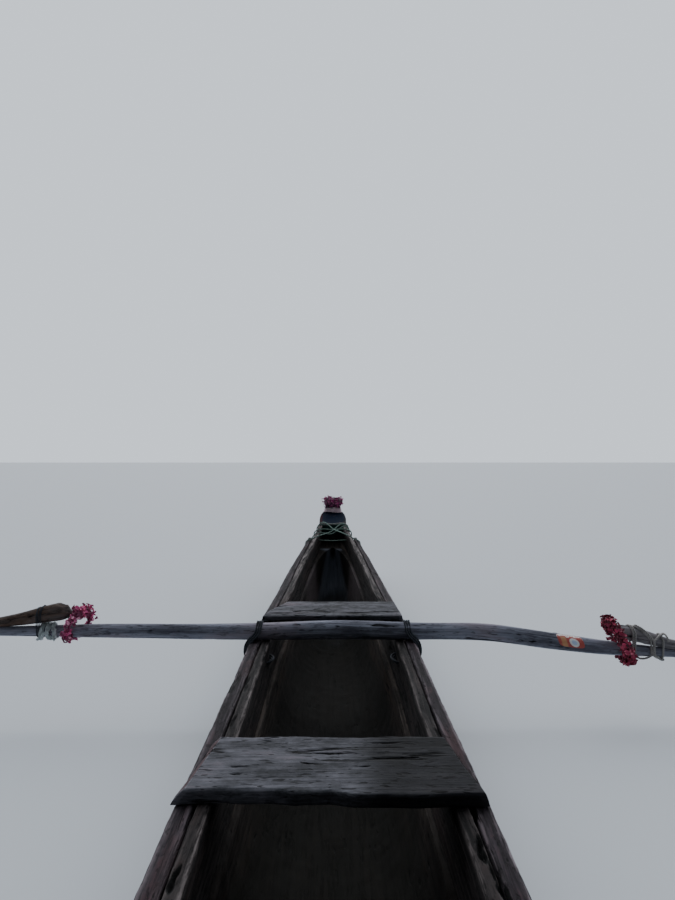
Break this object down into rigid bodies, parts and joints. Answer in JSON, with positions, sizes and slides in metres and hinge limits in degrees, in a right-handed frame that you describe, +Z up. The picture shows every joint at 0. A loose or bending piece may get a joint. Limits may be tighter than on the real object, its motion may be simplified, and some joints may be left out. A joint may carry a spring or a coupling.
{
  "type": "double outrigger dugout canoe",
  "caption": "Narrow dugout canoe with side planks, rails and thwarts, and booms lashed across it that carry a plank float on each side through bent arms; afloat.",
  "frame": {"origin": "on the centreline at the waterline, amidships", "axes": "+Y towards the bow, +X to starboard, +Z up"},
  "size_m": [3.9376, 7.66, 0.9069],
  "materials": {
    "log_wood": "dark weathered hewn log",
    "plank_wood": "dark red-brown weathered board",
    "rail_wood": "weathered grey-brown, worn pale on the edges",
    "thwart_wood": "silver-grey weathered plank with cracks",
    "pole_wood": "barked pole, smooth and grey",
    "arm_wood": "natural crooked branch",
    "float_wood": "weathered plank, darker near the water",
    "bow_paint": "old dark blue paint worn off the edges",
    "rope": "faded laid rope",
    "dark_rope": "dark blue-grey laid rope",
    "green_rope": "green laid rope",
    "rag": "grey-white cloth strip",
    "pink_cloth": "pale pink cotton",
    "flowers": "magenta flower petals"
  },
  "bodies": {
    "root": {"hull_dugout": "log_wood", "bow_block": "bow_paint", "stern_block": "log_wood", "side_plank_port_aft": "plank_wood", "side_plank_port_mid": "plank_wood", "side_plank_port_fore": "plank_wood", "side_plank_starboard_aft": "plank_wood", "side_plank_starboard_mid": "plank_wood", "side_plank_starboard_fore": "plank_wood", "gunwale_rail_port_aft": "rail_wood", "gunwale_rail_port_fore": "rail_wood", "gunwale_rail_starboard_aft": "rail_wood", "gunwale_rail_starboard_fore": "rail_wood", "thwart_forward": "thwart_wood", "thwart_middle": "thwart_wood", "thwart_aft": "thwart_wood", "boom_fore": "pole_wood", "boom_aft": "pole_wood", "boom_lashing_fore_port": "dark_rope", "boom_lashing_fore_starboard": "dark_rope", "boom_lashing_aft_port": "dark_rope", "boom_lashing_aft_starboard": "dark_rope", "arm_fore_port": "arm_wood", "arm_fore_starboard": "arm_wood", "arm_aft_port": "arm_wood", "arm_aft_starboard": "arm_wood", "arm_lashing_fore_port_inner": "rag", "arm_lashing_fore_port_outer": "rope", "arm_lashing_fore_starboard_inner": "rope", "arm_lashing_fore_starboard_outer": "rope", "arm_lashing_aft_port_inner": "rope", "arm_lashing_aft_port_outer": "rope", "arm_lashing_aft_starboard_inner": "rope", "arm_lashing_aft_starboard_outer": "rope", "float_port": "float_wood", "float_starboard": "float_wood", "float_lashing_fore_port": "rope", "float_lashing_fore_starboard": "rope", "float_lashing_aft_port": "rope", "float_lashing_aft_starboard": "rope", "bow_lashing": "green_rope", "bow_cloth": "pink_cloth", "garland_bow": "flowers", "garland_port": "flowers", "garland_starboard": "flowers"}
  },
  "joints": []
}
